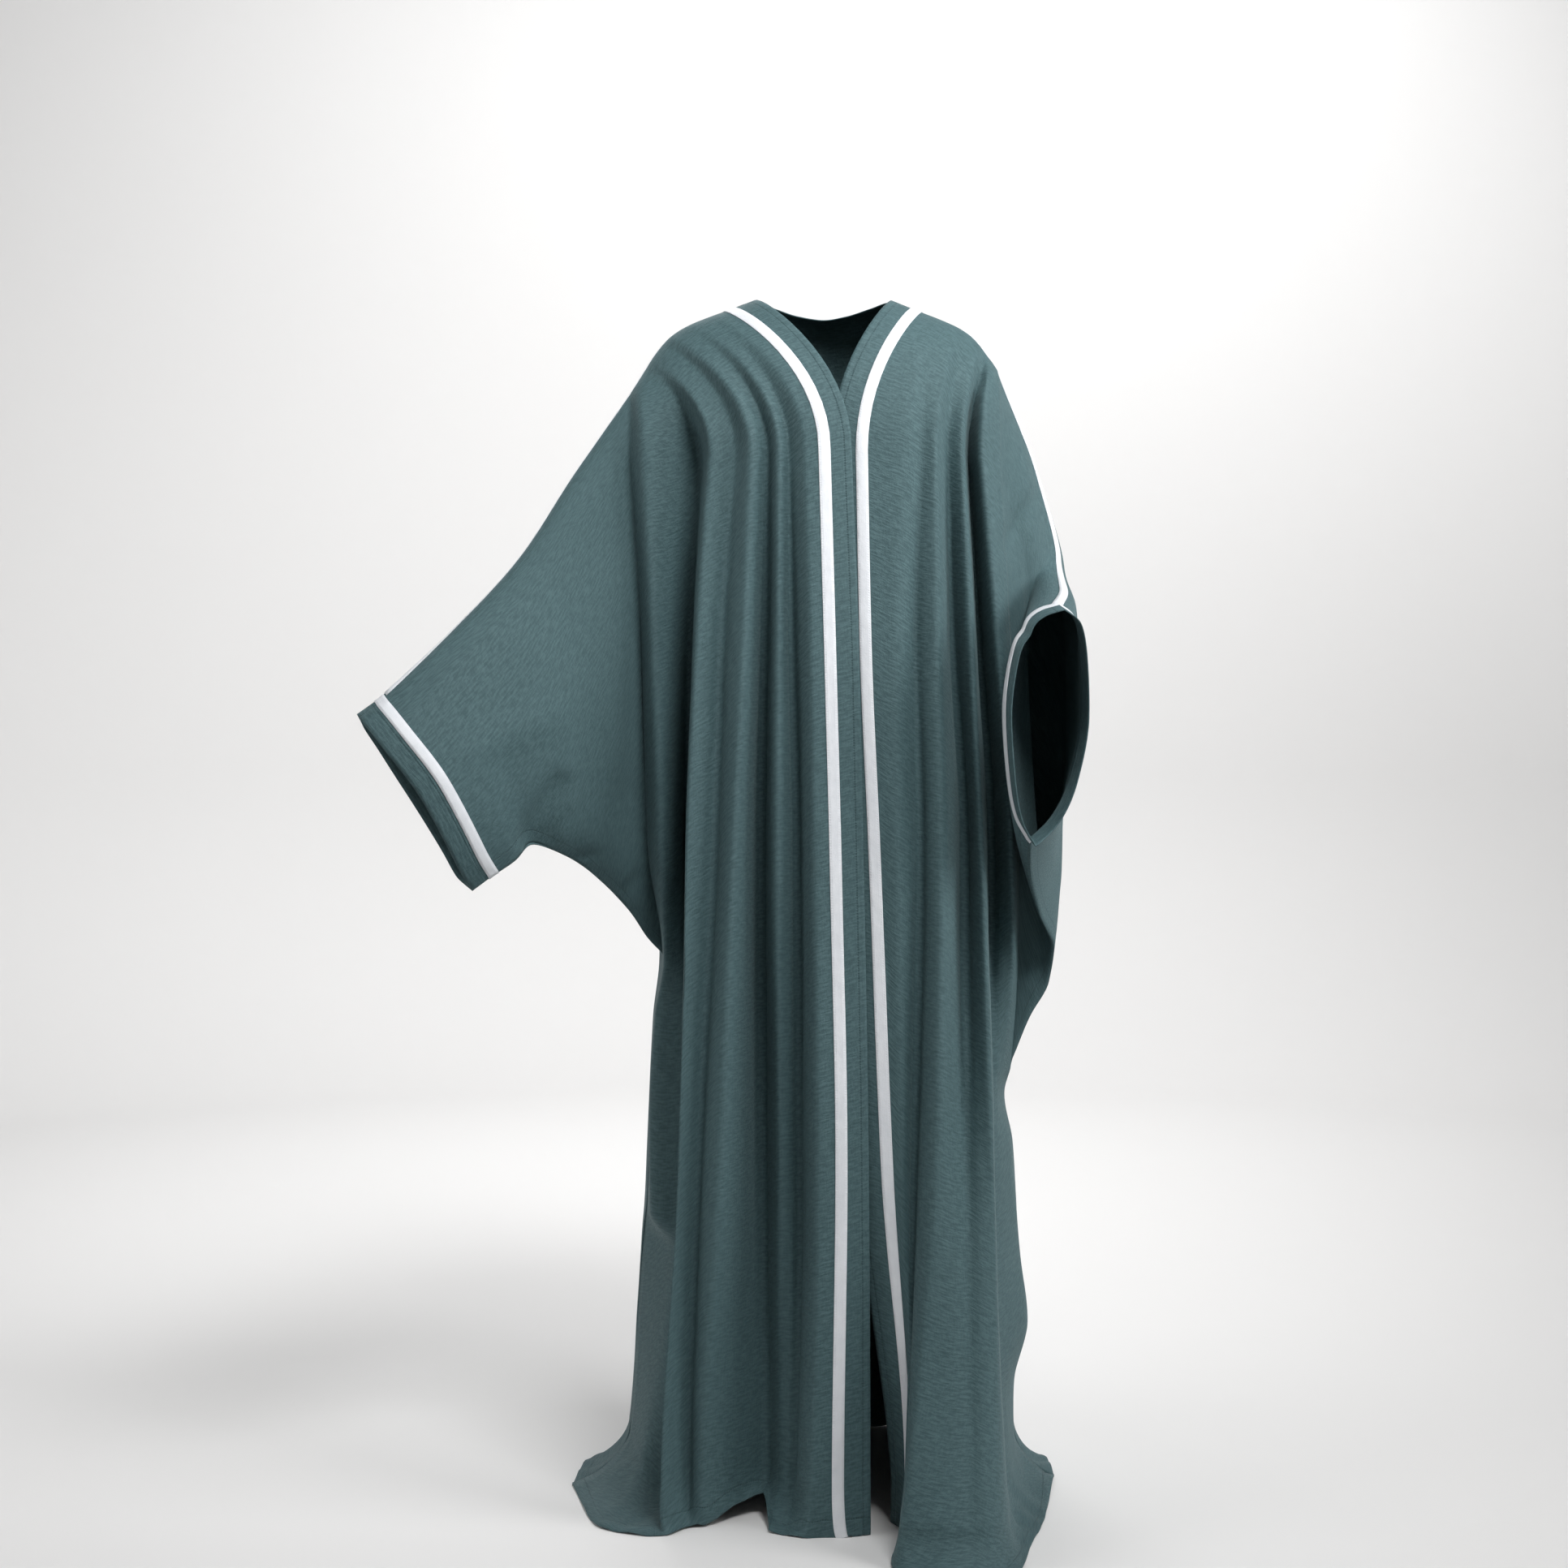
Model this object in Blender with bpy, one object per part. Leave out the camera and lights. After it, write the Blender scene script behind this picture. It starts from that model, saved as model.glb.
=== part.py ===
"""A butterfly abaya in dark teal crepe with white tape, open all the way down its front.

Metres, +Z up, front towards -Y, the wearer's right at -X. The origin is the middle of the
shoulders, where the wearer holds the garment up. Heights in the tables are above the floor.
"""

import math
from bisect import bisect_right

import bmesh
import bpy
from mathutils import Vector

# Driving sizes
MM = 0.001
HELD_HEIGHT = 1.45
WALL = 0.0015
TAPE_WALL = 0.001
SEAM_GAP = 0.00035
BAND_GAP = 0.0006
TAPE_GAP = 0.0005
ARM_TAPE_GAP = 0.0017
CUFF_TAPE_GAP = 0.0016
TAPE_WIDTH = 0.014
CUFF_BAND = 0.031

# Heights of the sections that the fold tables give, and the steps between them
CHEST, WAIST, HIP, KNEE, BREAK, HEM = 1.26, 1.04, 0.80, 0.42, 0.05, 0.002
SECTIONS = (CHEST, WAIST, HIP, KNEE, BREAK, HEM)
SHOULDER_STEPS = 6
CHEST_STEPS = 9
SKIRT_STEPS = 10
FLOOR_STEPS = 3
SLEEVE_STEPS = 10
STEPS_PER_FOLD = 2
UNDERARM_ROW = SHOULDER_STEPS + CHEST_STEPS
FOLD_FADE = 6
SLEEVE_FULLNESS = 0.6

# The seam over the shoulder and arm, from the neck to the top of the cuff
OVERARM = {
    "right": (
        # place, x, y, height
        ("neck", -0.085, 0.010, 1.465),
        ("shoulder", -0.185, 0.000, 1.420),
        ("upper arm", -0.235, -0.010, 1.348),
        ("above elbow", -0.300, -0.045, 1.245),
        ("elbow", -0.362, -0.090, 1.137),
        ("forearm", -0.430, -0.145, 1.050),
        ("wrist", -0.505, -0.205, 0.966),
    ),
    "left": (
        ("neck", 0.085, 0.010, 1.465),
        ("shoulder", 0.180, 0.000, 1.420),
        ("upper arm", 0.212, 0.002, 1.380),
        ("above elbow", 0.266, 0.020, 1.255),
        ("elbow", 0.291, 0.005, 1.150),
        ("forearm", 0.284, -0.100, 1.100),
        ("wrist", 0.262, -0.200, 1.073),
    ),
}
LAST_BODY_PLACE = 2

# The seam between sleeve and cuff band, down its front half and down its back half
CUFFS = {
    "right": (
        # place, front x, front y, front height, back x, back y, back height
        ("top", -0.505, -0.205, 0.966, -0.505, -0.205, 0.966),
        ("over wrist", -0.493, -0.224, 0.954, -0.503, -0.184, 0.954),
        ("upper", -0.468, -0.232, 0.924, -0.488, -0.165, 0.925),
        ("middle", -0.432, -0.218, 0.873, -0.456, -0.142, 0.868),
        ("lower", -0.405, -0.188, 0.814, -0.424, -0.122, 0.810),
        ("fold", -0.393, -0.162, 0.782, -0.403, -0.122, 0.776),
        ("bottom", -0.386, -0.140, 0.765, -0.386, -0.140, 0.765),
    ),
    "left": (
        ("top", 0.262, -0.200, 1.073, 0.262, -0.200, 1.073),
        ("over wrist", 0.238, -0.197, 1.064, 0.281, -0.188, 1.059),
        ("upper", 0.215, -0.193, 1.030, 0.291, -0.170, 1.022),
        ("middle", 0.204, -0.190, 0.955, 0.296, -0.152, 0.955),
        ("lower", 0.210, -0.183, 0.878, 0.284, -0.144, 0.880),
        ("fold", 0.218, -0.176, 0.838, 0.261, -0.148, 0.832),
        ("bottom", 0.234, -0.165, 0.808, 0.234, -0.165, 0.808),
    ),
}
CUFF_DIRECTION = {
    "right": Vector((-0.77, -0.25, -0.59)).normalized(),
    "left": Vector((0.13, -0.95, -0.28)).normalized(),
}

# How far the middle of each half of the sleeve stands out from the lines between its seams
SLEEVE_ROOM = {
    "right": {"front": Vector((0.0, 0.0, 0.0)), "back": Vector((0.0, 0.015, 0.0))},
    "left": {"front": Vector((-0.018, 0.0, 0.0)), "back": Vector((0.004, 0.028, 0.0))},
}

# The seam under the sleeve, from the underarm out to the cuff
UNDERARM = {
    "right": (
        # place, x, y, height
        ("underarm", -0.197, 0.005, 0.660),
        ("first step", -0.214, -0.010, 0.680),
        ("corner", -0.236, -0.030, 0.716),
        ("rise", -0.268, -0.050, 0.753),
        ("wave", -0.299, -0.070, 0.779),
        ("arch", -0.345, -0.100, 0.799),
        ("dip", -0.363, -0.125, 0.781),
        ("cuff", -0.386, -0.140, 0.765),
    ),
    "left": (
        ("underarm", 0.232, 0.010, 0.525),
        ("swag foot", 0.254, 0.000, 0.583),
        ("swag side", 0.276, -0.010, 0.627),
        ("swag", 0.280, -0.030, 0.668),
        ("swag top", 0.259, -0.070, 0.711),
        ("below cuff", 0.240, -0.120, 0.768),
        ("cuff", 0.234, -0.165, 0.808),
    ),
}

# How far the fronts' fold lines hang sideways (x) and back (y) at each section. The share is
# the place along the shoulder seam that the line falls from, from the neck to the upper arm.
FRONT_FOLDS = {
    "right": (
        # line, share, x in mm at chest, waist, hip, knee, break, hem, y in mm at the same six
        ("opening", 0.00, (31, 39, 44, 50, 52, 52), (-130, -140, -146, -150, -152, -155)),
        ("tape inner", 0.14, (6, 12, 18, 25, 21, 26), (-134, -144, -150, -156, -158, -158)),
        ("tape outer", 0.21, (-8, -2, 4, 11, 7, 12), (-135, -145, -151, -158, -160, -159)),
        ("crest 1", 0.28, (-22, -16, -12, -9, -16, -26), (-135, -147, -155, -163, -163, -164)),
        ("valley 1", 0.35, (-42, -39, -33, -31, -38, -50), (-119, -117, -116, -110, -108, -156)),
        ("crest 2", 0.42, (-54, -55, -56, -52, -51, -67), (-128, -135, -140, -118, -98, -146)),
        ("valley 2", 0.49, (-67, -71, -75, -74, -70, -72), (-109, -98, -86, -76, -74, -92)),
        ("crest 3", 0.57, (-86, -95, -106, -123, -143, -142), (-124, -134, -144, -156, -130, -128)),
        ("valley 3", 0.65, (-106, -122, -130, -148, -160, -160), (-102, -110, -120, -132, -120, -135)),
        ("crest 4", 0.74, (-134, -150, -161, -170, -190, -183), (-108, -123, -134, -145, -145, -158)),
        ("valley 4", 0.83, (-150, -162, -165, -160, -172, -204), (-50, -42, -28, -15, -50, -160)),
    ),
    "left": (
        ("opening", 0.00, (7, 7, 12, 33, 79, 81), (-122, -131, -137, -138, -120, -110)),
        ("tape inner", 0.17, (36, 40, 50, 65, 94, 94), (-125, -134, -141, -146, -140, -135)),
        ("tape outer", 0.26, (50, 54, 64, 79, 101, 99), (-126, -136, -144, -148, -150, -150)),
        ("crest 1", 0.36, (88, 80, 83, 89, 98, 94), (-126, -138, -150, -150, -160, -165)),
        ("valley 1", 0.46, (114, 106, 111, 103, 87, 81), (-118, -126, -130, -140, -190, -200)),
        ("crest 2", 0.56, (129, 130, 134, 126, 84, 70), (-122, -138, -154, -175, -245, -290)),
        ("valley 2", 0.66, (146, 153, 167, 166, 159, 146), (-94, -84, -84, -150, -270, -335)),
        ("crest 3", 0.76, (162, 172, 183, 193, 199, 211), (-102, -116, -126, -150, -230, -270)),
        ("valley 3", 0.86, (174, 188, 203, 205, 215, 233), (-50, -45, -38, -50, -100, -190)),
    ),
}

# How far the hem arches up off the floor in the deepest fold and beside it
HEM_RISE = {("right", "valley 2"): 0.030, ("right", "crest 3"): 0.004}

# The place along the shoulder seam that the last fold before each side falls from
SIDE_FOLD_SHARE = {"right": 0.91, "left": 0.93}

# The last fold before each side, the line where the front turns into the sleeve and, below
# the underarm, the side seam, and the same line of the back
SIDES = {
    "right": (
        # height, fold x, fold y, side x, side y, back x, back y
        (1.260, -0.212, -0.075, -0.234, -0.045, -0.225, 0.045),
        (1.040, -0.202, -0.085, -0.220, -0.050, -0.215, 0.060),
        (0.800, -0.194, -0.075, -0.214, -0.035, -0.205, 0.050),
        (0.660, -0.192, -0.030, -0.197, 0.005, -0.197, 0.005),
        (0.580, -0.206, 0.005, -0.209, 0.042, -0.209, 0.042),
        (0.420, -0.214, 0.015, -0.218, 0.075, -0.218, 0.075),
        (0.340, -0.212, 0.010, -0.222, 0.095, -0.222, 0.095),
        (0.290, -0.186, 0.030, -0.228, 0.110, -0.228, 0.110),
        (0.200, -0.195, 0.030, -0.235, 0.120, -0.235, 0.120),
        (0.050, -0.215, -0.030, -0.243, 0.090, -0.243, 0.090),
        (0.002, -0.262, -0.135, -0.310, 0.010, -0.310, 0.010),
    ),
    "left": (
        (1.260, 0.186, -0.095, 0.210, -0.070, 0.205, 0.045),
        (1.040, 0.204, -0.105, 0.224, -0.080, 0.215, 0.060),
        (0.800, 0.222, -0.085, 0.236, -0.040, 0.220, 0.060),
        (0.660, 0.228, -0.045, 0.240, -0.005, 0.230, 0.050),
        (0.525, 0.222, -0.010, 0.232, 0.010, 0.232, 0.010),
        (0.486, 0.222, 0.015, 0.226, 0.035, 0.226, 0.035),
        (0.420, 0.232, 0.020, 0.238, 0.050, 0.238, 0.050),
        (0.280, 0.246, 0.030, 0.247, 0.060, 0.247, 0.060),
        (0.200, 0.255, 0.030, 0.252, 0.065, 0.252, 0.065),
        (0.130, 0.238, 0.030, 0.240, 0.080, 0.240, 0.080),
        (0.050, 0.235, 0.000, 0.244, 0.095, 0.244, 0.095),
        (0.002, 0.256, -0.120, 0.290, 0.040, 0.290, 0.040),
    ),
}

# The back's own shape at each section: how far back its middle hangs, and where its sides are.
# A fold's place runs from the right side (0) to the left (1), and its depth is outwards.
BACK_MIDDLE = (0.125, 0.140, 0.165, 0.200, 0.225, 0.262)
BACK_HALF_WIDTH = (0.215, 0.212, 0.212, 0.228, 0.246, 0.296)
BACK_SIDE = (0.045, 0.055, 0.050, 0.070, 0.090, 0.030)
BACK_FOLDS = (
    # place, depth at chest, waist, hip, knee, break, hem
    (0.07, (0.004, 0.006, 0.010, 0.014, 0.018, 0.010)),
    (0.14, (-0.004, -0.010, -0.018, -0.026, -0.030, -0.006)),
    (0.21, (0.004, 0.008, 0.014, 0.020, 0.024, 0.012)),
    (0.28, (-0.004, -0.010, -0.018, -0.022, -0.024, -0.008)),
    (0.35, (0.004, 0.008, 0.012, 0.018, 0.020, 0.014)),
    (0.43, (-0.003, -0.008, -0.014, -0.022, -0.028, -0.004)),
    (0.51, (0.003, 0.006, 0.010, 0.016, 0.022, 0.010)),
    (0.58, (-0.003, -0.006, -0.014, -0.024, -0.026, -0.010)),
    (0.66, (0.004, 0.008, 0.014, 0.020, 0.022, 0.012)),
    (0.73, (-0.004, -0.010, -0.018, -0.024, -0.026, -0.006)),
    (0.80, (0.004, 0.008, 0.012, 0.018, 0.020, 0.010)),
    (0.87, (-0.004, -0.008, -0.016, -0.020, -0.022, -0.006)),
    (0.94, (0.004, 0.006, 0.010, 0.012, 0.014, 0.008)),
)
NECK_PLACES = (0.28, 0.73)
BACK_NECK_DROP = 0.012
BACK_NECK_DEPTH = 0.055
BACK_SQUARENESS = 0.75


def slope(stations, values, i):
    """The slope at one of the points, level at a crest or a valley so that no line overshoots."""
    i_before, i_after = max(i - 1, 0), min(i + 1, len(stations) - 1)
    if i_before == i or i_after == i:
        return (values[i_after] - values[i_before]) / (stations[i_after] - stations[i_before])
    before = (values[i] - values[i_before]) / (stations[i] - stations[i_before])
    after = (values[i_after] - values[i]) / (stations[i_after] - stations[i])
    return 0.0 if before * after <= 0 else 2 * before * after / (before + after)


def between(stations, values, at):
    """The value at a place on the smooth line through the given ones. Stations all rise or all fall."""
    sign = 1 if stations[-1] > stations[0] else -1
    k = bisect_right([sign * station for station in stations], sign * at) - 1
    k = min(max(k, 0), len(stations) - 2)
    step = stations[k + 1] - stations[k]
    share = (at - stations[k]) / step
    rise = values[k + 1] - values[k]
    start = slope(stations, values, k) * step
    end = slope(stations, values, k + 1) * step
    bend = 3 * rise - 2 * start - end
    return values[k] + start * share + bend * share**2 + (start + end - 2 * rise) * share**3


def point_between(stations, points, at):
    return Vector([between(stations, [point[axis] for point in points], at) for axis in range(3)])


def distances(points):
    """How far along a line of points each one lies, from 0 to 1."""
    lengths = [0.0]
    for start, end in zip(points, points[1:]):
        lengths.append(lengths[-1] + (end - start).length)
    return [length / lengths[-1] for length in lengths]


def along(points, shares):
    """Points at these shares of the length of the smooth line through the given points."""
    count = 12 * (len(points) - 1)
    fine = [point_between(range(len(points)), points, i / 12) for i in range(count + 1)]
    stations = distances(fine)
    return [point_between(stations, fine, share) for share in shares]


def steps(start, end, count):
    """The ends of equal steps, without the start."""
    return [start + (end - start) * (i + 1) / count for i in range(count)]


def heights_of(side):
    """The heights of the rows from the chest to the floor break."""
    underarm = UNDERARM[side][0][3]
    return [CHEST] + steps(CHEST, underarm, CHEST_STEPS) + steps(underarm, BREAK, SKIRT_STEPS)


def hanging_line(top, across, back, heights, stations=SECTIONS, plain=None, foot_height=HEM):
    """One line of cloth: a quarter turn over the shoulder, the hang, and one onto the floor.

    Its fold, which is how far it hangs from the plain depth, fades out up the shoulder.
    """
    line = []
    chest = Vector((between(stations, across, heights[0]), between(stations, back, heights[0]), heights[0]))
    plain = chest.y if plain is None else plain
    for i in range(SHOULDER_STEPS):
        turn = i / SHOULDER_STEPS * math.pi / 2
        line.append(
            Vector((
                top.x + (chest.x - top.x) * math.sin(turn) ** 2,
                top.y + (plain - top.y) * math.sin(turn) + (chest.y - plain) * math.sin(turn) ** FOLD_FADE,
                top.z + (chest.z - top.z) * (1 - math.cos(turn)),
            ))
        )
    for height in heights:
        line.append(Vector((between(stations, across, height), between(stations, back, height), height)))
    knee, foot = line[-1], Vector((across[-1], back[-1], foot_height))
    for i in range(FLOOR_STEPS):
        turn = (i + 1) / FLOOR_STEPS * math.pi / 2
        line.append(
            Vector((
                knee.x + (foot.x - knee.x) * (1 - math.cos(turn)),
                knee.y + (foot.y - knee.y) * (1 - math.cos(turn)),
                knee.z + (foot.z - knee.z) * math.sin(turn),
            ))
        )
    return line


def places(table):
    """The points of a table whose rows are a name and x, y, height."""
    return [Vector(row[1:4]) for row in table]


def shoulder_points(side, shares):
    return along(places(OVERARM[side][: LAST_BODY_PLACE + 1]), shares)


def arm_points(side, shares):
    return along(places(OVERARM[side][LAST_BODY_PLACE:]), shares)


def side_line(side, top, first_column):
    """A line of the side table: its x and y stand in first_column and the next."""
    table = SIDES[side]
    stations = [row[0] for row in table]
    across = [row[first_column] for row in table]
    back = [row[first_column + 1] for row in table]
    return hanging_line(top, across, back, heights_of(side), stations)


def spread(lines, per_gap):
    """Rows of points across the given lines, with per_gap steps from each line to the next."""
    count = (len(lines) - 1) * per_gap
    stations = range(len(lines))
    places_across = [i / per_gap for i in range(count + 1)]
    return [[point_between(stations, row, place) for place in places_across] for row in zip(*lines)]


def sleeve_rows(side, inner, half):
    """Rows of one half of a sleeve, from its inner line out to the cuff: a patch between four seams."""
    rows = UNDERARM_ROW
    shares = [i / SLEEVE_STEPS for i in range(SLEEVE_STEPS + 1)]
    first = 1 if half == "front" else 4
    cuff_points = [Vector(row[first : first + 3]) for row in CUFFS[side]]
    cuff = along(cuff_points, [i / rows for i in range(rows + 1)])
    top = arm_points(side, shares)
    foot = along(places(UNDERARM[side]), shares)
    patch = []
    for i in range(rows + 1):
        down = i / rows
        patch.append([])
        for k, out in enumerate(shares):
            corners = (
                (inner[0] * (1 - down) + inner[rows] * down) * (1 - out)
                + (cuff[0] * (1 - down) + cuff[-1] * down) * out
            )
            point = top[k] * (1 - down) + foot[k] * down + inner[i] * (1 - out) + cuff[i] * out - corners
            fullness = (math.sin(math.pi * down) * math.sin(math.pi * out)) ** SLEEVE_FULLNESS
            patch[-1].append(point + SLEEVE_ROOM[side][half] * fullness)
    return patch


def front_rows(side):
    """The front panel and its half of the sleeve, cut in one, row by row from the shoulder seam."""
    shares = [row[1] for row in FRONT_FOLDS[side]] + [SIDE_FOLD_SHARE[side], 1.0]
    tops = shoulder_points(side, shares)
    heights = heights_of(side)
    lines = []
    for i, (top, row) in enumerate(zip(tops, FRONT_FOLDS[side])):
        across, back = ([value * MM for value in values] for values in row[2:])
        near = [other[3][0] * MM for other in FRONT_FOLDS[side][max(i - 2, 0) : i + 3]]
        foot = HEM + HEM_RISE.get((side, row[0]), 0.0)
        plain = sum(near) / len(near)
        lines.append(hanging_line(top, across, back, heights, plain=plain, foot_height=foot))
    lines.append(side_line(side, tops[-2], 1))
    lines.append(side_line(side, tops[-1], 3))
    rows = spread(lines, STEPS_PER_FOLD)
    return with_sleeve(rows, sleeve_rows(side, lines[-1], "front"))


def with_sleeve(rows, sleeve):
    """The sleeve's columns set beside the panel's, with none below the underarm."""
    missing = [None] * (len(sleeve[0]) - 1)
    outer = [row[1:] for row in sleeve] + [missing] * (len(rows) - len(sleeve))
    return [row + more for row, more in zip(rows, outer)]


def back_line(place, depths, sides):
    """One fold line of the back, round the back's own curve and drawn in to the side lines near them."""
    angle = math.pi * place
    across, back, heights = [], [], []
    for right, left in list(zip(*sides))[SHOULDER_STEPS:-FLOOR_STEPS] + [(sides[0][-1], sides[1][-1])]:
        height = right.z + (left.z - right.z) * place
        columns = (BACK_HALF_WIDTH, BACK_SIDE, BACK_MIDDLE, depths)
        half, side, middle, depth = (between(SECTIONS, values, min(height, CHEST)) for values in columns)
        drawn = (1 - math.sin(angle)) ** 2
        off_right = right - Vector((-half, side, right.z))
        off_left = left - Vector((half, side, left.z))
        off = (off_right * (1 - place) + off_left * place) * drawn
        heights.append(height)
        across.append(-half * math.cos(angle) - depth * math.cos(angle) / 2 + off.x)
        roundness = math.sin(angle) ** BACK_SQUARENESS
        back.append(side + (middle - side) * roundness + depth * math.sin(angle) + off.y)
    return hanging_line(top_of_back(place), across, back, heights[:-1], heights)


def top_of_back(place):
    """The point of the back's top edge that a line falls from: right shoulder, neck, left shoulder."""
    right_neck, left_neck = NECK_PLACES
    if place <= right_neck:
        return shoulder_points("right", [1 - place / right_neck])[0]
    if place >= left_neck:
        return shoulder_points("left", [(place - left_neck) / (1 - left_neck)])[0]
    right, left = (places(OVERARM[side])[0] for side in ("right", "left"))
    nape = Vector((0.0, BACK_NECK_DEPTH, right.z - BACK_NECK_DROP))
    return along([right, nape, left], [(place - right_neck) / (left_neck - right_neck)])[0]


def back_rows():
    """The back and its halves of both sleeves, cut in one, from the right cuff to the left."""
    sides = {}
    for side in ("right", "left"):
        top = places(OVERARM[side])[LAST_BODY_PLACE]
        sides[side] = side_line(side, top, 5)[:UNDERARM_ROW] + side_line(side, top, 3)[UNDERARM_ROW:]
    both = (sides["right"], sides["left"])
    folds = [back_line(place, depths, both) for place, depths in BACK_FOLDS]
    lines = [sides["right"]] + folds + [sides["left"]]
    rows = spread(lines, STEPS_PER_FOLD)
    rows = with_sleeve(rows, sleeve_rows("left", sides["left"], "back"))
    rows = [row[::-1] for row in rows]
    rows = with_sleeve(rows, sleeve_rows("right", sides["right"], "back"))
    return [row[::-1] for row in rows]


def toward(start, end, distance):
    return start + (end - start).normalized() * distance


def set_tape_lines(rows, cuffs):
    """The row under the shoulder seam and the columns beside the cuffs, moved to their tape's edge."""
    half = TAPE_WIDTH / 2
    for column in range(len(rows[0])):
        rows[1][column] = toward(rows[0][column], rows[2][column], half)
    for row in rows[: UNDERARM_ROW + 1]:
        for cuff, beside, side in cuffs:
            row[beside] = row[cuff] - CUFF_DIRECTION[side] * half


def part_seams(front, back, side):
    """The two cloths of each seam moved half a seam gap apart, along the line between their insides."""
    body = len(front[0]) - 1 - SLEEVE_STEPS
    sign, first = (-1, SLEEVE_STEPS) if side == "right" else (1, len(back[0]) - 1 - SLEEVE_STEPS)
    last = len(front) - 1
    sleeve = range(body, len(front[0]))
    seam = [(0, column, 1, column) for column in sleeve]
    seam += [(UNDERARM_ROW, column, UNDERARM_ROW - 1, column) for column in sleeve]
    seam += [(row, body, row, body - 1) for row in range(UNDERARM_ROW + 1, last + 1)]
    moves = []
    for row, column, inner_row, inner_column in seam:
        at, inner = (first + sign * (place - body) for place in (column, inner_column))
        apart = (front[inner_row][inner_column] - back[inner_row][inner]).normalized() * SEAM_GAP / 2
        moves.append((row, column, at, apart))
    for row, column, at, apart in moves:
        front[row][column] = front[row][column] + apart
        back[row][at] = back[row][at] - apart
    for column in range(body):
        front[0][column] = front[0][column] - Vector((0, SEAM_GAP, 0))


def neighbour(rows, row, column):
    if 0 <= row < len(rows) and 0 <= column < len(rows[0]) and rows[row][column] is not None:
        return rows[row][column]
    return None


def outward(rows, row, column, turned):
    """The direction out of the cloth at one of its points."""
    here = rows[row][column]
    down = (neighbour(rows, row + 1, column) or here) - (neighbour(rows, row - 1, column) or here)
    across = (neighbour(rows, row, column + 1) or here) - (neighbour(rows, row, column - 1) or here)
    normal = down.cross(across).normalized()
    return normal if turned else -normal


def lying_on(rows, row, column, turned, gap):
    """The place of a tape's inner face over a point of the cloth below it."""
    return rows[row][column] + outward(rows, row, column, turned) * (WALL + gap)


def ridge_out(front_out, back_out):
    """The way out of a seam, longer than 1 so that what lies over it clears both its cloths."""
    out = front_out + back_out
    return out.normalized() * min(2 / out.length, 3.0)


def front_tape(rows, turned):
    """Tape down the front, on the columns between its two edges, from the shoulder to the hem."""
    columns = range(STEPS_PER_FOLD, 2 * STEPS_PER_FOLD + 1)
    strip = []
    for row in range(1, len(rows)):
        strip.append([lying_on(rows, row, column, turned, TAPE_GAP) for column in columns])
    strip[0] = [toward(start, end, TAPE_GAP) for start, end in zip(strip[0], strip[1])]
    return strip


def across_back(back, point):
    """The column of the back's top edge, as a whole number and a share, that lies at a point's x."""
    edge = back[0]
    k = next(i for i in range(len(edge) - 1) if edge[i + 1].x >= point.x or i == len(edge) - 2)
    return k, (point.x - edge[k].x) / (edge[k + 1].x - edge[k].x)


def sleeve_tape(front, back, side):
    """Tape over the seam of the shoulder and arm, from the neck to the cuff's tape."""
    turned = side == "left"
    body = len(front[0]) - 1 - SLEEVE_STEPS
    sign, first = (-1, SLEEVE_STEPS) if side == "right" else (1, len(back[0]) - 1 - SLEEVE_STEPS)
    strip = [[], [], []]
    for column in range(len(front[0]) - 1):
        if column < body:
            k, share = across_back(back, front[0][column])
        else:
            k, share = first + sign * (column - body), 0.0
        ends = []
        for i in (k, k + 1):
            ends.append((lying_on(back, 1, i, False, ARM_TAPE_GAP), outward(back, 0, i, False)))
        behind, out = (a * (1 - share) + b * share for a, b in zip(*ends))
        ridge = ridge_out(outward(front, 0, column, turned), out.normalized())
        strip[0].append(lying_on(front, 1, column, turned, ARM_TAPE_GAP))
        strip[1].append(front[0][column] + ridge * (WALL + ARM_TAPE_GAP))
        strip[2].append(behind)
    for line in strip:
        line[-1] = toward(line[-1], line[-2], TAPE_GAP)
    return strip


def cuff_loop(front, back, side, inset):
    """The points round a cuff, on the cloth a column or more in from its seam, and the ways out of it."""
    turned = side == "left"
    across = len(front[0]) - 1 - inset
    at = inset if side == "right" else len(back[0]) - 1 - inset
    loop = []
    for row in range(UNDERARM_ROW + 1):
        loop.append((front[row][across], outward(front, row, across, turned)))
    for row in range(UNDERARM_ROW, -1, -1):
        loop.append((back[row][at], outward(back, row, at, False)))
    top = ((loop[0][0] + loop[-1][0]) / 2, ridge_out(loop[0][1], loop[-1][1]))
    middle = UNDERARM_ROW
    front_foot, back_foot = loop[middle], loop[middle + 1]
    foot = ((front_foot[0] + back_foot[0]) / 2, ridge_out(front_foot[1], back_foot[1]))
    return [top] + loop[1:middle] + [foot] + loop[middle + 2 : -1] + [top]


def off_loop(loop):
    """The place of a tape's inner face round a loop of cloth."""
    return [point + out * (WALL + CUFF_TAPE_GAP) for point, out in loop]


def band_loop(band, row, turned):
    """One row of the band and the ways out of it, all round."""
    closed = [[line[-2]] + line + [line[1]] for line in band]
    return [(point, outward(closed, row, k + 1, turned)) for k, point in enumerate(band[row])]


def cuff_band(front, back, side):
    """A band of the same crepe sewn round the sleeve's end."""
    loop = [point for point, _ in cuff_loop(front, back, side, 0)]
    reaches = (BAND_GAP, TAPE_WIDTH / 2, CUFF_BAND * 0.6, CUFF_BAND)
    return [[point + CUFF_DIRECTION[side] * reach for point in loop] for reach in reaches]


def finish(name, colour, roughness):
    material = bpy.data.materials.new(name)
    material.use_nodes = True
    shader = material.node_tree.nodes["Principled BSDF"]
    shader.inputs["Base Color"].default_value = (*colour, 1)
    shader.inputs["Roughness"].default_value = roughness
    material.diffuse_color = (*colour, 1)
    return material


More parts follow.
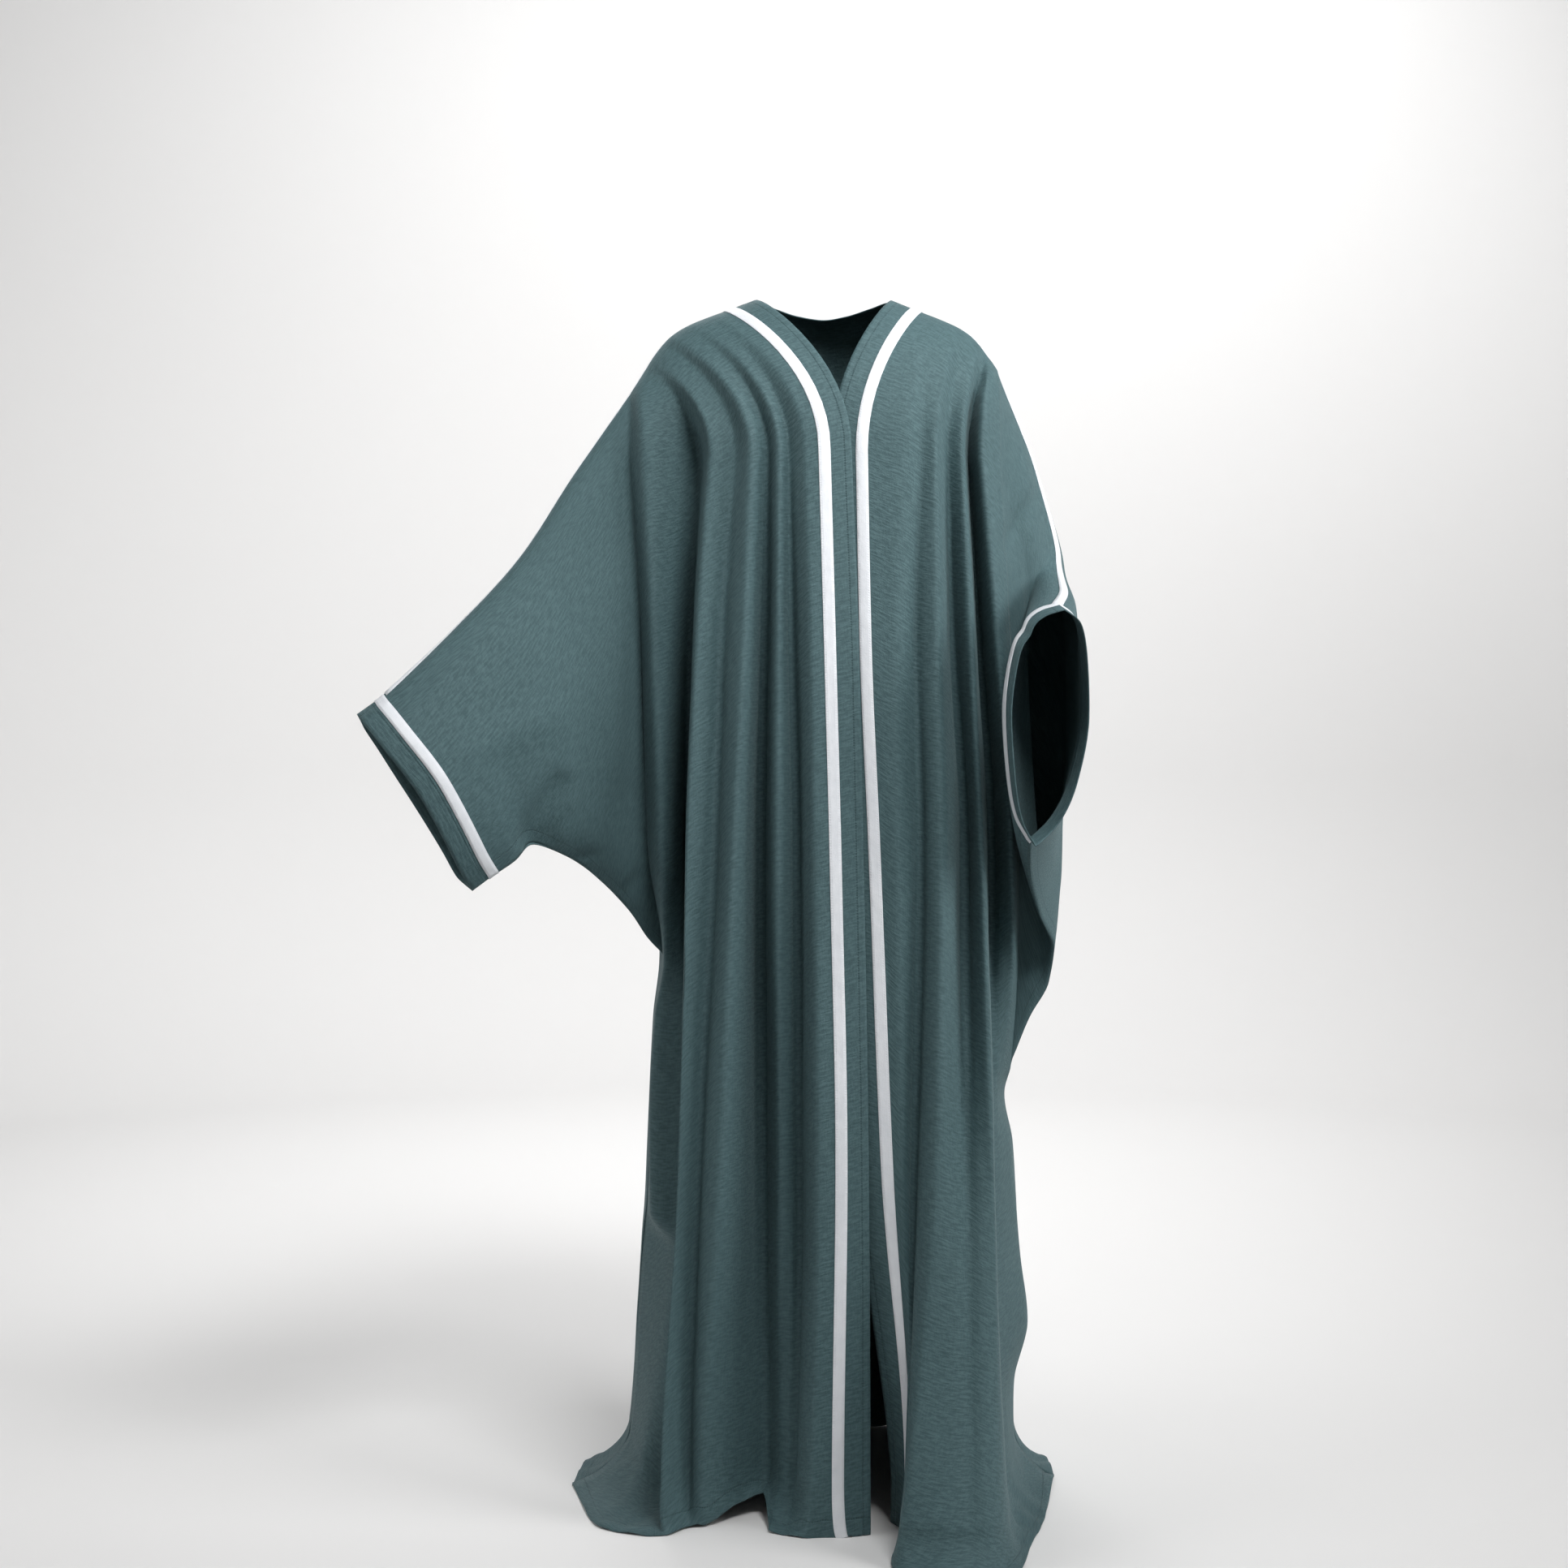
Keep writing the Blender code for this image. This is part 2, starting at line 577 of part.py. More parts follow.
def cloth(name, rows, wall, material, turned=False):
    """A wall of cloth whose inner face goes through the rows of points. None leaves a place empty."""
    down, across = len(rows) - 1, len(rows[0]) - 1
    mesh = bmesh.new()
    bmesh.ops.create_grid(mesh, x_segments=across, y_segments=down, size=1)
    empty = []
    for vert in mesh.verts:
        column = round((vert.co.x + 1) / 2 * across)
        row = round((1 - vert.co.y) / 2 * down)
        if rows[row][column] is None:
            empty.append(vert)
        else:
            vert.co = rows[row][column] - Vector((0, 0, HELD_HEIGHT))
    bmesh.ops.delete(mesh, geom=empty, context="VERTS")
    bmesh.ops.remove_doubles(mesh, verts=mesh.verts, dist=1e-5)
    if not turned:
        bmesh.ops.reverse_faces(mesh, faces=mesh.faces)
    data = bpy.data.meshes.new(name)
    mesh.to_mesh(data)
    mesh.free()
    data.shade_smooth()
    data.materials.append(material)
    piece = bpy.data.objects.new(name, data)
    bpy.context.collection.objects.link(piece)
    shell = piece.modifiers.new("Wall", "SOLIDIFY")
    shell.thickness = wall
    shell.offset = 1
    return piece


for item in list(bpy.data.objects):
    bpy.data.objects.remove(item)

crepe = finish("teal crepe", (0.05, 0.09, 0.10), 0.75)
satin = finish("white tape", (0.75, 0.76, 0.78), 0.5)
back = back_rows()
set_tape_lines(back, ((0, 1, "right"), (-1, -2, "left")))
fronts = {}
for side in ("right", "left"):
    fronts[side] = front_rows(side)
    set_tape_lines(fronts[side], ((-1, -2, side),))
    part_seams(fronts[side], back, side)
cloth("back", back, WALL, crepe)
for side, front in fronts.items():
    turned = side == "left"
    band = cuff_band(front, back, side)
    loops = [cuff_loop(front, back, side, inset) for inset in (1, 0)]
    ring = [off_loop(loop) for loop in loops + [band_loop(band, 1, not turned)]]
    cloth(f"front_{side}", front, WALL, crepe, turned)
    cloth(f"cuff_band_{side}", band, WALL, crepe, not turned)
    cloth(f"front_tape_{side}", front_tape(front, turned), TAPE_WALL, satin, turned)
    cloth(f"sleeve_tape_{side}", sleeve_tape(front, back, side), TAPE_WALL, satin, not turned)
    cloth(f"cuff_tape_{side}", ring, TAPE_WALL, satin, not turned)
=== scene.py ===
"""Looks of a butterfly abaya in dark teal crepe with white ribbon tape, open down its front.

Metres, +Z up, front towards -Y, the wearer's right at -X. The origin is the middle of the
shoulders. Heights in the tables are above the floor that the hem lies on.
"""

import math
from bisect import bisect_right

import bmesh
import bpy
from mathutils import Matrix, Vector, noise


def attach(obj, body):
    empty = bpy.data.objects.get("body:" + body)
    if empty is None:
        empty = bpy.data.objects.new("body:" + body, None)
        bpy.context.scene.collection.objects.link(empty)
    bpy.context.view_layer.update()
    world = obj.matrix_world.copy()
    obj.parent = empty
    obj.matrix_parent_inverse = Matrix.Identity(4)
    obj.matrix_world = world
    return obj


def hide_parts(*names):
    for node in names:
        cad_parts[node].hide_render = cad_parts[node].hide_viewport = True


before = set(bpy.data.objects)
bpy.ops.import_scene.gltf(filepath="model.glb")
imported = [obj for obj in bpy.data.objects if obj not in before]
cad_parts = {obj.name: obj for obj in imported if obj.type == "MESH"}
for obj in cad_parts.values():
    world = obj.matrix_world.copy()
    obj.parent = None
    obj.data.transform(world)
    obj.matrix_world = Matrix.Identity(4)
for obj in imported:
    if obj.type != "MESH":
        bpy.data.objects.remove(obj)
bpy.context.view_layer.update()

# The studio: a pale floor that curves up into a pale wall all round, a soft light high in front
# that falls off towards the floor, one on each side, one behind and one for the wall. The camera
# is level at waist height, 2.5 m away.
SHOULDER_HEIGHT = 1.45
CAMERA_HEIGHT, CAMERA_DISTANCE, CAMERA_SIDE = 0.87, 2.5, -0.048
PHOTO_WIDTH, PIXELS_PER_METRE_AT_1M = 1932, 2500
SENSOR = 36
WALL_DISTANCE, WALL_HEIGHT, COVE_RADIUS, COVE_STEPS, ROOM_STEPS = 4.2, 4.5, 0.9, 12, 64
FLOOR_HEIGHT = 0.0018  # just under the lying hem, so that no light shows below it
LIGHTS = (
    # name, x, y, height, size, watts, the y and height that it points at, degrees that it spreads
    ("key", 0.65, -1.55, 2.95, 0.9, 14, 0.0, 1.40, 75),
    ("left side", -2.5, -0.8, 1.9, 1.4, 17, 0.0, 0.95, 180),
    ("right side", 2.2, -0.9, 1.9, 1.2, 24, 0.0, 1.15, 130),
    ("back", -0.4, 2.4, 2.9, 1.2, 16, 0.0, 1.10, 150),
    ("wall", 0.5, 1.9, 3.6, 3.0, 84, 4.2, 1.5, 150),
)


def at_height(x, y, height):
    return Vector((x, y, height - SHOULDER_HEIGHT))


scene = bpy.context.scene
camera = bpy.data.objects.new("camera", bpy.data.cameras.new("camera"))
camera.location = at_height(CAMERA_SIDE, -CAMERA_DISTANCE, CAMERA_HEIGHT)
camera.rotation_euler = (math.pi / 2, 0, 0)
camera.data.sensor_width = SENSOR
camera.data.lens = PIXELS_PER_METRE_AT_1M / PHOTO_WIDTH * SENSOR
scene.collection.objects.link(camera)
scene.camera = camera

for name, x, y, height, size, watts, aim_y, aim_height, degrees in LIGHTS:
    lamp = bpy.data.lights.new(name, "AREA")
    lamp.energy, lamp.size, lamp.spread = watts, size, math.radians(degrees)
    light = bpy.data.objects.new(name, lamp)
    light.location = at_height(x, y, height)
    way = at_height(0, aim_y, aim_height) - light.location
    light.rotation_euler = way.to_track_quat("-Z", "Y").to_euler()
    scene.collection.objects.link(light)

world = bpy.data.worlds.new("studio")
world.use_nodes = True
glow = world.node_tree.nodes["Background"].inputs
glow["Color"].default_value = (0.93, 0.96, 1.0, 1)
glow["Strength"].default_value = 0.14
scene.world = world
scene.view_settings.view_transform = "Standard"

room = bmesh.new()
profile = [room.verts.new(at_height(0, 0, FLOOR_HEIGHT))]
for i in range(COVE_STEPS + 1):
    turn = i / COVE_STEPS * math.pi / 2
    out = WALL_DISTANCE - COVE_RADIUS * (1 - math.sin(turn))
    rise = COVE_RADIUS * (1 - math.cos(turn))
    profile.append(room.verts.new(at_height(0, out, FLOOR_HEIGHT + rise)))
profile.append(room.verts.new(at_height(0, WALL_DISTANCE, WALL_HEIGHT)))
edges = [room.edges.new(pair) for pair in zip(profile, profile[1:])]
bmesh.ops.spin(
    room,
    geom=profile + edges,
    cent=(0, 0, 0),
    axis=(0, 0, 1),
    angle=2 * math.pi,
    steps=ROOM_STEPS,
    use_merge=True,
)
bmesh.ops.remove_doubles(room, verts=room.verts, dist=1e-4)
room_mesh = bpy.data.meshes.new("backdrop")
room.to_mesh(room_mesh)
room.free()
room_mesh.shade_smooth()
backdrop = bpy.data.objects.new("backdrop", room_mesh)
scene.collection.objects.link(backdrop)
paper = bpy.data.materials.new("backdrop paper")
paper.use_nodes = True
paper_shader = paper.node_tree.nodes["Principled BSDF"]
paper_shader.inputs["Base Color"].default_value = (0.74, 0.735, 0.73, 1)
paper_shader.inputs["Roughness"].default_value = 0.8
room_mesh.materials.append(paper)


# Crepe, which all the garment's panels are cut from: a dull weave of hard-twisted yarn, with
# short crinkles across it and a faint twill line. Its UV map is the cut itself, in metres.
class Signal:
    """One output of a material's nodes. Python's operators on it add the Math nodes they need."""

    def __init__(self, tree, socket=None):
        self.tree = tree
        self.socket = socket

    def add(self, kind, settings, inputs, output=0):
        """A new node, its settings first and then the values or links of its sockets."""
        node = self.tree.nodes.new(kind)
        for name, value in settings.items():
            setattr(node, name, value)
        for name, value in inputs.items():
            if isinstance(value, Signal):
                self.tree.links.new(value.socket, node.inputs[name])
            else:
                node.inputs[name].default_value = value
        return Signal(self.tree, node.outputs[output])

    def math(self, operation, *others):
        return self.add("ShaderNodeMath", {"operation": operation}, dict(enumerate((self, *others))))

    def __add__(self, other):
        return self.math("ADD", other)

    def __sub__(self, other):
        return self.math("SUBTRACT", other)

    def __mul__(self, other):
        return self.math("MULTIPLY", other)

    def __rsub__(self, other):
        return (self * -1) + other

    __radd__ = __add__
    __rmul__ = __mul__

    def parts(self):
        """The first two coordinates, each as a signal of its own."""
        return [self.add("ShaderNodeSeparateXYZ", {}, {"Vector": self}, output) for output in (0, 1)]

    def speckle(self, across, along, detail, turn=0.0):
        """Noise from 0 to 1, with this many spots to the metre across and along the cloth."""
        spots = self.add(
            "ShaderNodeMapping",
            {},
            {"Vector": self, "Rotation": (0, 0, turn), "Scale": (across, along, 1)},
        )
        return self.add(
            "ShaderNodeTexNoise",
            {},
            {"Vector": spots, "Scale": 1.0, "Detail": detail, "Roughness": 0.55},
        )

    def mixed(self, low, high):
        """A colour between two: the first where the signal is 0 and the second where it is 1."""
        return self.add(
            "ShaderNodeMix",
            {"data_type": "RGBA"},
            {0: self, 6: (*low, 1), 7: (*high, 1)},
            output=2,
        )

    def bumps(self, strength, distance):
        """The normals of a surface that rises with this signal."""
        return self.add(
            "ShaderNodeBump", {}, {"Strength": strength, "Distance": distance, "Height": self}
        )

    def between(self, low, high):
        """0 below low, 1 above high and a smooth rise from one to the other."""
        return self.add(
            "ShaderNodeMapRange",
            {"interpolation_type": "SMOOTHSTEP"},
            {"Value": self, "From Min": low, "From Max": high},
        )


def start_finish(name):
    """A material with nothing but its shader yet, and a signal of its cut's coordinates."""
    material = bpy.data.materials.new(name)
    material.use_nodes = True
    tree = material.node_tree
    cut = Signal(tree).add("ShaderNodeUVMap", {"uv_map": "cut"}, {})
    return material, tree.nodes["Principled BSDF"], cut


def join(signal, shader, name):
    signal.tree.links.new(signal.socket, shader.inputs[name])


STITCH = 0.0015
THREAD_START, THREAD_END = 0.2, 0.6
GROOVE_FLAT, GROOVE_EDGE = 0.0005, 0.0014
HEM_TURN, EDGE_TURN = 0.020, 0.009
DARK_TEAL, LIGHT_TEAL = (0.030, 0.064, 0.071), (0.064, 0.118, 0.128)


def stitched(off_edge, run, place):
    """1 in the groove of a line of stitches at this distance from an edge, less on each stitch."""
    groove = 1 - (off_edge - place).math("ABSOLUTE").between(GROOVE_FLAT, GROOVE_EDGE)
    thread = run.math("PINGPONG", STITCH).between(THREAD_START * STITCH, THREAD_END * STITCH)
    return groove * (1 - thread * 0.6)


crepe, shader, cut = start_finish("teal crepe")
crinkle = cut.speckle(85, 360, 3.0)
twill = cut.speckle(420, 130, 1.0, math.radians(38))
grain = cut.speckle(1500, 1500, 1.0)
cloudy = cut.speckle(9, 4, 2.0)
relief = crinkle * 0.65 + twill * 0.2 + grain * 0.2
from_front, from_foot = cut.add("ShaderNodeUVMap", {"uv_map": "edges"}, {}).parts()
sewing = stitched(from_foot, from_front, HEM_TURN) + stitched(from_front, from_foot, EDGE_TURN)
# The colour is darker where the woven relief sinks and along the stitch grooves: painted shade in the
# grooves. The cloudy blotches are the crepe's own uneven tone.
groove_shade_and_tone = relief.between(0.40, 0.66) * 0.7 + cloudy * 0.3 - sewing * 0.5
join(groove_shade_and_tone.mixed(DARK_TEAL, LIGHT_TEAL), shader, "Base Color")
join(0.84 - relief * 0.2, shader, "Roughness")
join((relief - sewing * 0.5).bumps(0.8, 0.0016), shader, "Normal")
shader.inputs["Specular IOR Level"].default_value = 0.35
shader.inputs["Sheen Weight"].default_value = 0.12
shader.inputs["Sheen Roughness"].default_value = 0.45
shader.inputs["Sheen Tint"].default_value = (0.55, 0.75, 0.78, 1)


# The right front: one panel from shoulder to floor with the front half of its wing sleeve cut
# in one with it. It hangs from the shoulder in soft folds and lies over the left front.
MM = 0.001
WALL = 0.0012
CHEST, WAIST, HIP, KNEE, BREAK, HEM = 1.26, 1.04, 0.80, 0.42, 0.05, 0.002
SECTIONS = (CHEST, WAIST, HIP, KNEE, BREAK, HEM)
SHOULDER_STEPS, CHEST_STEPS, SKIRT_STEPS, FLOOR_STEPS = 16, 60, 70, 16
UNDERARM_ROW = SHOULDER_STEPS + CHEST_STEPS
STEPS_PER_FOLD, SLEEVE_STEPS, FINE_STEPS = 8, 56, 12
FOLD_FADE, SLEEVE_FULLNESS = 6, 0.6
SEAM_GAP = 0.0003
OVERARM = {
    "right": (
        # place, x, y, height
        ("neck", -0.085, 0.010, 1.465),
        ("shoulder", -0.185, 0.000, 1.420),
        ("upper arm", -0.235, -0.010, 1.348),
        ("above elbow", -0.300, -0.045, 1.245),
        ("elbow", -0.362, -0.090, 1.137),
        ("forearm", -0.430, -0.145, 1.050),
        ("wrist", -0.505, -0.205, 0.966),
    ),
    "left": (
        ("neck", 0.085, 0.010, 1.465),
        ("shoulder", 0.180, 0.000, 1.420),
        ("upper arm", 0.212, 0.002, 1.380),
        ("above elbow", 0.266, 0.020, 1.255),
        ("elbow", 0.291, 0.005, 1.150),
        ("forearm", 0.284, -0.100, 1.100),
        ("wrist", 0.262, -0.200, 1.073),
    ),
}
LAST_BODY_PLACE = 2
CUFFS = {
    "right": (
        # place, front x, front y, front height, back x, back y, back height
        ("top", -0.505, -0.205, 0.966, -0.505, -0.205, 0.966),
        ("over wrist", -0.493, -0.224, 0.954, -0.503, -0.184, 0.954),
        ("upper", -0.468, -0.232, 0.924, -0.488, -0.165, 0.925),
        ("middle", -0.432, -0.218, 0.873, -0.456, -0.142, 0.868),
        ("lower", -0.405, -0.188, 0.814, -0.424, -0.122, 0.810),
        ("fold", -0.393, -0.162, 0.782, -0.403, -0.122, 0.776),
        ("bottom", -0.386, -0.140, 0.765, -0.386, -0.140, 0.765),
    ),
    "left": (
        ("top", 0.262, -0.200, 1.073, 0.262, -0.200, 1.073),
        ("over wrist", 0.238, -0.197, 1.064, 0.281, -0.188, 1.059),
        ("upper", 0.215, -0.193, 1.030, 0.291, -0.170, 1.022),
        ("middle", 0.204, -0.190, 0.955, 0.296, -0.152, 0.955),
        ("lower", 0.210, -0.183, 0.878, 0.284, -0.144, 0.880),
        ("fold", 0.218, -0.176, 0.838, 0.261, -0.148, 0.832),
        ("bottom", 0.234, -0.165, 0.808, 0.234, -0.165, 0.808),
    ),
}
CUFF_DIRECTION = {
    "right": Vector((-0.77, -0.25, -0.59)).normalized(),
    "left": Vector((0.13, -0.95, -0.28)).normalized(),
}
SLEEVE_ROOM = {
    "right": {"front": Vector((0.0, 0.0, 0.0)), "back": Vector((0.0, 0.015, 0.0))},
    "left": {"front": Vector((-0.018, 0.0, 0.0)), "back": Vector((0.004, 0.028, 0.0))},
}
UNDERARM = {
    "right": (
        # place, x, y, height
        ("underarm", -0.197, 0.005, 0.660),
        ("first step", -0.214, -0.010, 0.680),
        ("corner", -0.236, -0.030, 0.716),
        ("rise", -0.268, -0.050, 0.753),
        ("wave", -0.299, -0.070, 0.779),
        ("arch", -0.345, -0.100, 0.799),
        ("dip", -0.363, -0.125, 0.781),
        ("cuff", -0.386, -0.140, 0.765),
    ),
    "left": (
        ("underarm", 0.232, 0.010, 0.525),
        ("swag foot", 0.254, 0.000, 0.583),
        ("swag side", 0.276, -0.010, 0.627),
        ("swag", 0.280, -0.030, 0.668),
        ("swag top", 0.259, -0.070, 0.711),
        ("below cuff", 0.240, -0.120, 0.768),
        ("cuff", 0.234, -0.165, 0.808),
    ),
}
FRONT_FOLDS = {
    "right": (
        # line, share, x in mm at chest, waist, hip, knee, break, hem, y in mm at the same six
        ("opening", 0.00, (31, 39, 44, 50, 52, 52), (-130, -140, -146, -150, -152, -155)),
        ("tape inner", 0.14, (6, 12, 18, 25, 21, 26), (-134, -144, -150, -156, -158, -158)),
        ("tape outer", 0.21, (-8, -2, 4, 11, 7, 12), (-135, -145, -151, -158, -160, -159)),
        ("crest 1", 0.28, (-22, -16, -12, -9, -16, -26), (-135, -147, -155, -163, -163, -164)),
        ("valley 1", 0.35, (-42, -39, -33, -31, -38, -50), (-119, -117, -116, -110, -108, -156)),
        ("crest 2", 0.42, (-54, -55, -56, -52, -51, -67), (-128, -135, -140, -118, -98, -146)),
        ("valley 2", 0.49, (-67, -71, -75, -74, -70, -72), (-109, -98, -86, -76, -74, -92)),
        ("crest 3", 0.57, (-86, -95, -106, -123, -143, -142), (-124, -134, -144, -156, -130, -128)),
        ("valley 3", 0.65, (-106, -122, -130, -148, -160, -160), (-102, -110, -120, -132, -120, -135)),
        ("crest 4", 0.74, (-134, -150, -161, -170, -190, -183), (-108, -123, -134, -145, -145, -158)),
        ("valley 4", 0.83, (-150, -162, -165, -160, -172, -204), (-50, -42, -28, -15, -50, -160)),
    ),
    "left": (
        ("opening", 0.00, (7, 7, 12, 33, 79, 81), (-122, -131, -137, -138, -120, -110)),
        ("tape inner", 0.17, (36, 40, 50, 65, 94, 94), (-125, -134, -141, -146, -140, -135)),
        ("tape outer", 0.26, (50, 54, 64, 79, 101, 99), (-126, -136, -144, -148, -150, -150)),
        ("crest 1", 0.36, (88, 80, 83, 89, 98, 94), (-126, -138, -150, -150, -160, -165)),
        ("valley 1", 0.46, (114, 106, 111, 103, 87, 81), (-118, -126, -130, -140, -190, -200)),
        ("crest 2", 0.56, (129, 130, 134, 126, 84, 70), (-122, -138, -154, -175, -245, -290)),
        ("valley 2", 0.66, (146, 153, 167, 166, 159, 146), (-94, -84, -84, -150, -270, -335)),
        ("crest 3", 0.76, (162, 172, 183, 193, 199, 211), (-102, -116, -126, -150, -230, -270)),
        ("valley 3", 0.86, (174, 188, 203, 205, 215, 233), (-50, -45, -38, -50, -100, -190)),
    ),
}
HEM_RISE = {("right", "valley 2"): 0.030, ("right", "crest 3"): 0.004}
SIDE_FOLD_SHARE = {"right": 0.91, "left": 0.93}
SIDES = {
    "right": (
        # height, last fold's x, y, the front's side line x, y, the back's side line x, y
        (1.260, -0.212, -0.075, -0.234, -0.045, -0.225, 0.045),
        (1.040, -0.202, -0.085, -0.220, -0.050, -0.215, 0.060),
        (0.800, -0.194, -0.075, -0.214, -0.035, -0.205, 0.050),
        (0.660, -0.192, -0.030, -0.197, 0.005, -0.197, 0.005),
        (0.580, -0.206, 0.005, -0.209, 0.042, -0.209, 0.042),
        (0.420, -0.214, 0.015, -0.218, 0.075, -0.218, 0.075),
        (0.340, -0.212, 0.010, -0.222, 0.095, -0.222, 0.095),
        (0.290, -0.186, 0.030, -0.228, 0.110, -0.228, 0.110),
        (0.200, -0.195, 0.030, -0.235, 0.120, -0.235, 0.120),
        (0.050, -0.215, -0.030, -0.243, 0.090, -0.243, 0.090),
        (0.002, -0.262, -0.135, -0.310, 0.010, -0.310, 0.010),
    ),
    "left": (
        (1.260, 0.186, -0.095, 0.210, -0.070, 0.205, 0.045),
        (1.040, 0.204, -0.105, 0.224, -0.080, 0.215, 0.060),
        (0.800, 0.222, -0.085, 0.236, -0.040, 0.220, 0.060),
        (0.660, 0.228, -0.045, 0.240, -0.005, 0.230, 0.050),
        (0.525, 0.222, -0.010, 0.232, 0.010, 0.232, 0.010),
        (0.486, 0.222, 0.015, 0.226, 0.035, 0.226, 0.035),
        (0.420, 0.232, 0.020, 0.238, 0.050, 0.238, 0.050),
        (0.280, 0.246, 0.030, 0.247, 0.060, 0.247, 0.060),
        (0.200, 0.255, 0.030, 0.252, 0.065, 0.252, 0.065),
        (0.130, 0.238, 0.030, 0.240, 0.080, 0.240, 0.080),
        (0.050, 0.235, 0.000, 0.244, 0.095, 0.244, 0.095),
        (0.002, 0.256, -0.120, 0.290, 0.040, 0.290, 0.040),
    ),
}


def slope(stations, values, i):
    """The slope at one of the points, level at a crest or a valley so that no line overshoots."""
    i_before, i_after = max(i - 1, 0), min(i + 1, len(stations) - 1)
    if i_before == i or i_after == i:
        return (values[i_after] - values[i_before]) / (stations[i_after] - stations[i_before])
    before = (values[i] - values[i_before]) / (stations[i] - stations[i_before])
    after = (values[i_after] - values[i]) / (stations[i_after] - stations[i])
    return 0.0 if before * after <= 0 else 2 * before * after / (before + after)


def between(stations, values, at):
    """The value at a place on the smooth line through the given ones, for rising or falling stations."""
    sign = 1 if stations[-1] > stations[0] else -1
    k = bisect_right([sign * station for station in stations], sign * at) - 1
    k = min(max(k, 0), len(stations) - 2)
    step = stations[k + 1] - stations[k]
    share = (at - stations[k]) / step
    rise = values[k + 1] - values[k]
    start = slope(stations, values, k) * step
    end = slope(stations, values, k + 1) * step
    bend = 3 * rise - 2 * start - end
    return values[k] + start * share + bend * share**2 + (start + end - 2 * rise) * share**3


def point_between(stations, points, at):
    return Vector([between(stations, [point[axis] for point in points], at) for axis in range(3)])


def distances(points):
    """How far along a line of points each one lies, from 0 to 1."""
    lengths = [0.0]
    for start, end in zip(points, points[1:]):
        lengths.append(lengths[-1] + (end - start).length)
    return [length / lengths[-1] for length in lengths]


def along(points, shares):
    """Points at these shares of the length of the smooth line through the given points."""
    count = FINE_STEPS * (len(points) - 1)
    fine = [point_between(range(len(points)), points, i / FINE_STEPS) for i in range(count + 1)]
    stations = distances(fine)
    return [point_between(stations, fine, share) for share in shares]


def steps(start, end, count):
    """The ends of equal steps, without the start."""
    return [start + (end - start) * (i + 1) / count for i in range(count)]


def heights_of(side):
    """The heights of the rows from the chest to the floor break."""
    underarm = UNDERARM[side][0][3]
    return [CHEST] + steps(CHEST, underarm, CHEST_STEPS) + steps(underarm, BREAK, SKIRT_STEPS)


def hanging_line(top, across, back, heights, stations=SECTIONS, plain=None, foot_height=HEM):
    """One line of cloth: a quarter turn over the shoulder, the hang, and a quarter turn onto the floor.

    Its fold, which is how far it hangs from the plain depth, fades out up the shoulder.
    """

    def hung(height):
        return Vector((between(stations, across, height), between(stations, back, height), height))

    line = []
    chest = hung(heights[0])
    plain = chest.y if plain is None else plain
    for i in range(SHOULDER_STEPS):
        turn = i / SHOULDER_STEPS * math.pi / 2
        fold = (chest.y - plain) * math.sin(turn) ** FOLD_FADE
        line.append(
            Vector((
                top.x + (chest.x - top.x) * math.sin(turn) ** 2,
                top.y + (plain - top.y) * math.sin(turn) + fold,
                top.z + (chest.z - top.z) * (1 - math.cos(turn)),
            ))
        )
    line.extend(hung(height) for height in heights)
    knee, foot = line[-1], Vector((across[-1], back[-1], foot_height))
    for i in range(FLOOR_STEPS):
        turn = (i + 1) / FLOOR_STEPS * math.pi / 2
        line.append(
            Vector((
                knee.x + (foot.x - knee.x) * (1 - math.cos(turn)),
                knee.y + (foot.y - knee.y) * (1 - math.cos(turn)),
                knee.z + (foot.z - knee.z) * math.sin(turn),
            ))
        )
    return line


def places(table):
    """The points of a table whose rows are a name and x, y, height."""
    return [Vector(row[1:4]) for row in table]


def shoulder_points(side, shares):
    return along(places(OVERARM[side][: LAST_BODY_PLACE + 1]), shares)


def arm_points(side, shares):
    return along(places(OVERARM[side][LAST_BODY_PLACE:]), shares)


def side_line(side, top, first_column):
    """A line of the side table: its x and y stand in first_column and the next."""
    table = SIDES[side]
    stations = [row[0] for row in table]
    across = [row[first_column] for row in table]
    back = [row[first_column + 1] for row in table]
    return hanging_line(top, across, back, heights_of(side), stations)


def spread(lines, per_gap):
    """Rows of points across the given lines, with per_gap steps from each line to the next."""
    count = (len(lines) - 1) * per_gap
    stations = range(len(lines))
    return [
        [point_between(stations, row, i / per_gap) for i in range(count + 1)] for row in zip(*lines)
    ]


def sleeve_rows(side, inner, half):
    """Rows of one half of a sleeve, from its inner line out to the cuff, full between its seams."""
    rows = UNDERARM_ROW
    shares = [i / SLEEVE_STEPS for i in range(SLEEVE_STEPS + 1)]
    first = 1 if half == "front" else 4
    ends = [Vector(row[first : first + 3]) for row in CUFFS[side]]
    cuff = along(ends, [i / rows for i in range(rows + 1)])
    top = arm_points(side, shares)
    foot = along(places(UNDERARM[side]), shares)
    patch = []
    for i in range(rows + 1):
        down = i / rows
        patch.append([])
        for k, out in enumerate(shares):
            corners = (
                (inner[0] * (1 - down) + inner[rows] * down) * (1 - out)
                + (cuff[0] * (1 - down) + cuff[-1] * down) * out
            )
            point = top[k] * (1 - down) + foot[k] * down + inner[i] * (1 - out) + cuff[i] * out
            middle = math.sin(math.pi * down) * max(math.sin(math.pi * out), 0.0)
            patch[-1].append(point - corners + SLEEVE_ROOM[side][half] * middle**SLEEVE_FULLNESS)
    return patch


def with_sleeve(rows, sleeve):
    """The sleeve's columns set beside the panel's, with none below the underarm."""
    missing = [None] * (len(sleeve[0]) - 1)
    outer = [row[1:] for row in sleeve] + [missing] * (len(rows) - len(sleeve))
    return [row + more for row, more in zip(rows, outer)]


